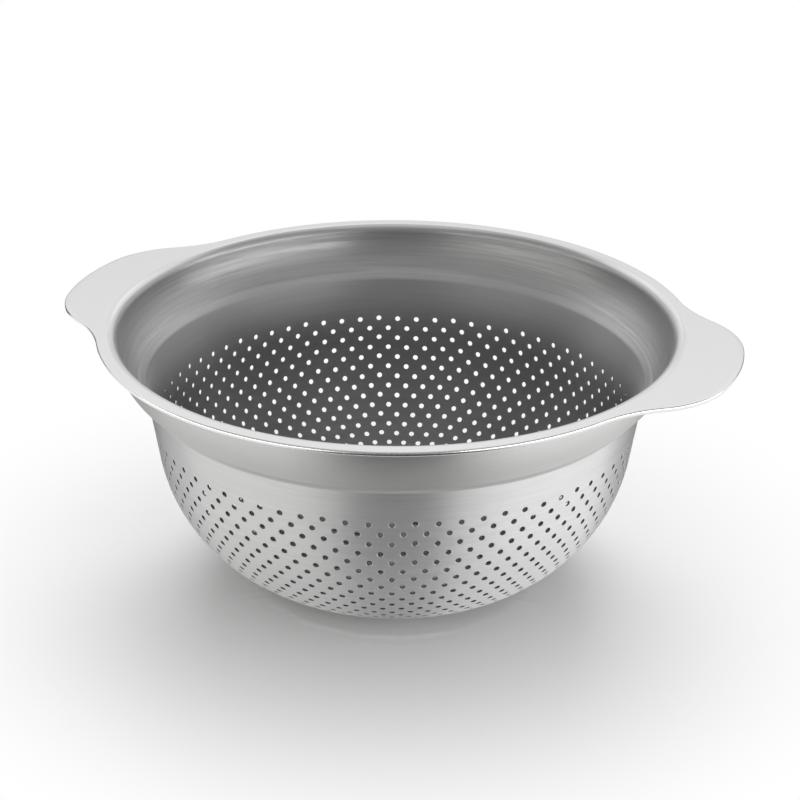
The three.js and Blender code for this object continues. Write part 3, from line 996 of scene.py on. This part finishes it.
class COLANDER_OT_seam_weld(bpy.types.Operator):
    """Builds the weld bead in the corner between the collar's seat and the bowl"""

    bl_idname = "colander.seam_weld"
    bl_label = "Seam weld"

    def execute(self, context):
        bowl = context.scene.colander_bowl
        finish = context.scene.colander_finish
        section = CollarSection(context.scene.colander_collar, bowl)
        profiles = [self.bead(section, bowl, bearing) for bearing in bearings(WELD_COLUMNS)]
        sheet = Sheet()
        sheet.revolve(profiles, [STEEL] * len(profiles[0]))
        # The bead's darker steel is painted shade in the crease
        dressed = brushed_steel("dressed weld", *steel_of(finish, "weld"))
        piece = sheet.build("seam_weld_bead", [dressed], WELD_SHARP)
        seat_piece(piece, "seam_weld")
        return {"FINISHED"}

    @staticmethod
    def bead(section, bowl, bearing):
        """The bead in section; its legs and hollow waver slightly round the bowl."""
        root = meet(section.seat_outside, down_at(section.seat), section.crease, section.wall_up)
        waver = sum(size * math.sin(waves * bearing + phase) for size, waves, phase in WAVER)
        leg = bowl.weld_leg * (LEG_SHARE + LEG_WAVER * waver)
        on_seat = root - down_at(section.seat) * leg
        on_bowl = root - section.wall_up * leg
        chord = on_seat - on_bowl
        inward = (root - on_bowl - chord / 2).normalized()
        face = []
        for k in range(1, WELD_STEPS):
            t = k / WELD_STEPS
            sink = 4 * t * (1 - t) * bowl.weld_hollow * (1 + HOLLOW_WAVER * waver)
            face.append(on_bowl + chord * t + inward * sink)
        return [root, on_bowl, *face, on_seat]


# Stage


class COLANDER_OT_stage(bpy.types.Operator):
    """Makes the pale floor, the studio light and the camera"""

    bl_idname = "colander.stage"
    bl_label = "Stage"

    def execute(self, context):
        settings = context.scene.colander_stage
        context.scene.view_settings.view_transform = "Standard"
        turn = Matrix.Rotation(settings.azimuth, 3, "Z")
        self.floor(context, settings)
        self.cards(context, settings, turn)
        self.room(context, settings, turn)
        floor_lamp = self.lamp(context, "floor lamp", turn, FLOOR_LAMP, settings.floor_light)
        floor_lamp.visible_glossy = False
        left = self.lamp(context, "left softbox", turn, LEFT_BOX, settings.left_light)
        left.data.color = LEFT_TINT
        self.lamp(context, "right softbox", turn, RIGHT_BOX, settings.right_light)
        self.camera(context, settings, turn)
        return {"FINISHED"}

    @staticmethod
    def board(context, name, corners, material):
        """A flat board with four corners."""
        mesh = bpy.data.meshes.new(name)
        mesh.from_pydata(corners, [], [(0, 1, 2, 3)])
        mesh.materials.append(material)
        board = bpy.data.objects.new(name, mesh)
        context.scene.collection.objects.link(board)
        return board

    def floor(self, context, settings):
        """A pale floor that takes the shadow near the object and turns white further out."""
        material, tree = new_finish("studio floor")
        away = add(tree, "ShaderNodeVectorMath", {0: object_place(tree)}, operation="LENGTH")
        far = ramp(tree, away.outputs["Value"], FLOOR_FADE, settings.floor_reach)
        seen = seen_by(tree, "Is Camera Ray", "Is Glossy Ray", "Is Transmission Ray")
        white_share = compute(tree, "MULTIPLY", far, seen)
        matt = add(tree, "ShaderNodeBsdfDiffuse", inputs={"Color": (*settings.floor_colour, 1.0)})
        white = add(tree, "ShaderNodeEmission", inputs={"Strength": 1.0})
        links = {0: white_share, 1: matt.outputs[0], 2: white.outputs[0]}
        finish_surface(tree, add(tree, "ShaderNodeMixShader", links))
        sides = ((-1, -1), (1, -1), (1, 1), (-1, 1))
        corners = [(x * FLOOR_HALF, y * FLOOR_HALF, FLOOR_LEVEL) for x, y in sides]
        plane = self.board(context, "studio_floor", corners, material)

    def cards(self, context, settings, turn):
        """One dark card darkens the middle of the walls, and two draw the ears' edges."""
        material, tree = new_finish("dark card")
        finish_surface(tree, add(tree, "ShaderNodeBsdfDiffuse", inputs={"Color": CARD_COLOUR}))
        start = -settings.card_start
        lying = ((CARD_LEFT, CARD_END), (CARD_RIGHT, CARD_END), (CARD_RIGHT, start), (CARD_LEFT, start))
        front = [(x, y, CARD_LEVEL) for x, y in lying]
        near, far, top = SIDE_CARD_NEAR, SIDE_CARD_FAR, SIDE_CARD_TOP
        standing = ((near, 0.0), (far, 0.0), (far, top), (near, top))
        right = [(x, SIDE_CARD_BACK, z) for x, z in standing]
        left = [(-x, SIDE_CARD_BACK, z) for x, z in standing]
        for name, corners in (("front card", front), ("right card", right), ("left card", left)):
            places = [turn @ Vector(p) for p in corners]
            card = self.board(context, name, places, material)
            card.visible_camera = False
            card.visible_diffuse = False
            card.visible_shadow = False

    @staticmethod
    def room(context, settings, turn):
        """White to the camera, and to reflections behind the object; elsewhere a dim room."""
        world = bpy.data.worlds.new("studio room")
        world.use_nodes = True
        tree = world.node_tree
        tree.nodes.clear()
        direction = add(tree, "ShaderNodeTexCoord").outputs["Generated"]
        rise = add(tree, "ShaderNodeSeparateXYZ", {0: direction}).outputs["Z"]
        back = turn @ Vector((0.0, 1.0, 0.0))
        towards = add(
            tree, "ShaderNodeVectorMath", {0: direction}, operation="DOT_PRODUCT", inputs={1: back}
        ).outputs["Value"]
        behind = ramp(tree, towards, *BACKDROP_SIDES)
        below_top = ramp(tree, rise, *BACKDROP_TOP)
        paler = ramp(tree, rise, *BACKDROP_RISE, BACKDROP_LOWEST, 1.0, "LINEAR")
        backdrop = compute(tree, "MULTIPLY", compute(tree, "MULTIPLY", behind, below_top), paler)
        mirrored = seen_by(tree, "Is Glossy Ray", "Is Transmission Ray")
        shown = compute(tree, "MULTIPLY", mirrored, backdrop)
        white = compute(tree, "MAXIMUM", seen_by(tree, "Is Camera Ray"), shown)
        walls = ramp(tree, rise, *WALL_RISE, settings.room_low, settings.room_high)
        ceiling = ramp(tree, rise, *CEILING_RISE, 0.0, settings.room_ceiling)
        dim = compute(tree, "ADD", walls, ceiling)
        level = mixed(tree, "FLOAT", {"Factor": white, "A": dim}, {"B": 1.0})
        light = add(tree, "ShaderNodeBackground", {"Strength": level}, inputs={"Color": grey(1.0)})
        add(tree, "ShaderNodeOutputWorld", {"Surface": light.outputs[0]})
        context.scene.world = world

    @staticmethod
    def lamp(context, name, turn, place_and_size, brightness):
        """A soft lamp that faces the bowl; its brightness is that of its lit face."""
        place = turn @ Vector(place_and_size[0])
        width, height = place_and_size[1]
        data = bpy.data.lights.new(name, "AREA")
        data.shape = "RECTANGLE"
        data.size, data.size_y = width, height
        data.energy = brightness * math.pi * width * height
        lamp = bpy.data.objects.new(name, data)
        lamp.visible_camera = False
        context.scene.collection.objects.link(lamp)
        lamp.location = place
        lamp.rotation_euler = (Vector(LAMP_AIM) - place).to_track_quat("-Z", "Y").to_euler()
        return lamp

    @staticmethod
    def camera(context, settings, turn):
        rise, pitch, yaw, roll = settings.elevation, settings.pitch, settings.yaw, settings.roll
        rim_middle = Vector((0.0, 0.0, context.scene.colander_collar.height))
        back = Vector((0.0, -math.cos(rise), math.sin(rise)))
        ahead = Vector((math.sin(yaw), math.cos(yaw), 0.0)) * math.cos(pitch)
        forward = ahead - Vector((0.0, 0.0, math.sin(pitch)))
        level = Vector((math.cos(yaw), -math.sin(yaw), 0.0))
        upright = level.cross(forward)
        right = level * math.cos(roll) + upright * math.sin(roll)
        up = upright * math.cos(roll) - level * math.sin(roll)
        axes = Matrix((turn @ right, turn @ up, turn @ -forward)).transposed()
        data = bpy.data.cameras.new("camera")
        data.lens = settings.lens
        data.sensor_width = SENSOR_WIDTH
        data.clip_start = CLIP_START
        data.clip_end = CLIP_END
        camera = bpy.data.objects.new("camera", data)
        context.scene.collection.objects.link(camera)
        place = rim_middle + turn @ back * settings.distance
        camera.matrix_world = Matrix.Translation(place) @ axes.to_4x4()
        context.scene.camera = camera


class COLANDER_PT_panel(bpy.types.Panel):
    """Lists the colander's pieces, sizes and finish"""

    bl_idname = "COLANDER_PT_panel"
    bl_label = "Colander"
    bl_space_type = "VIEW_3D"
    bl_region_type = "UI"
    bl_category = "Colander"

    def draw(self, context):
        layout = self.layout
        for operator in OPERATORS:
            layout.operator(operator.bl_idname)
        for name in SETTINGS:
            group = getattr(context.scene, name)
            box = layout.box()
            box.label(text=group.bl_rna.description)
            for prop in group.bl_rna.properties:
                if not prop.is_readonly and prop.identifier != "name":
                    box.prop(group, prop.identifier)


OPERATORS = (
    COLANDER_OT_rim_collar,
    COLANDER_OT_strainer_bowl,
    COLANDER_OT_seam_weld,
    COLANDER_OT_stage,
)
SETTINGS = {
    "colander_collar": CollarSizes,
    "colander_bowl": BowlSizes,
    "colander_finish": SteelFinish,
    "colander_stage": StageSettings,
}


def register():
    for group in SETTINGS.values():
        bpy.utils.register_class(group)
    for name, group in SETTINGS.items():
        setattr(bpy.types.Scene, name, bpy.props.PointerProperty(type=group))
    for operator in OPERATORS:
        bpy.utils.register_class(operator)
    bpy.utils.register_class(COLANDER_PT_panel)


def unregister():
    bpy.utils.unregister_class(COLANDER_PT_panel)
    for operator in reversed(OPERATORS):
        bpy.utils.unregister_class(operator)
    for name, group in SETTINGS.items():
        delattr(bpy.types.Scene, name)
        bpy.utils.unregister_class(group)


def main():
    register()
    bpy.ops.colander.rim_collar()
    bpy.ops.colander.strainer_bowl()
    bpy.ops.colander.seam_weld()
    bpy.ops.colander.stage()


if __name__ == "__main__":
    main()
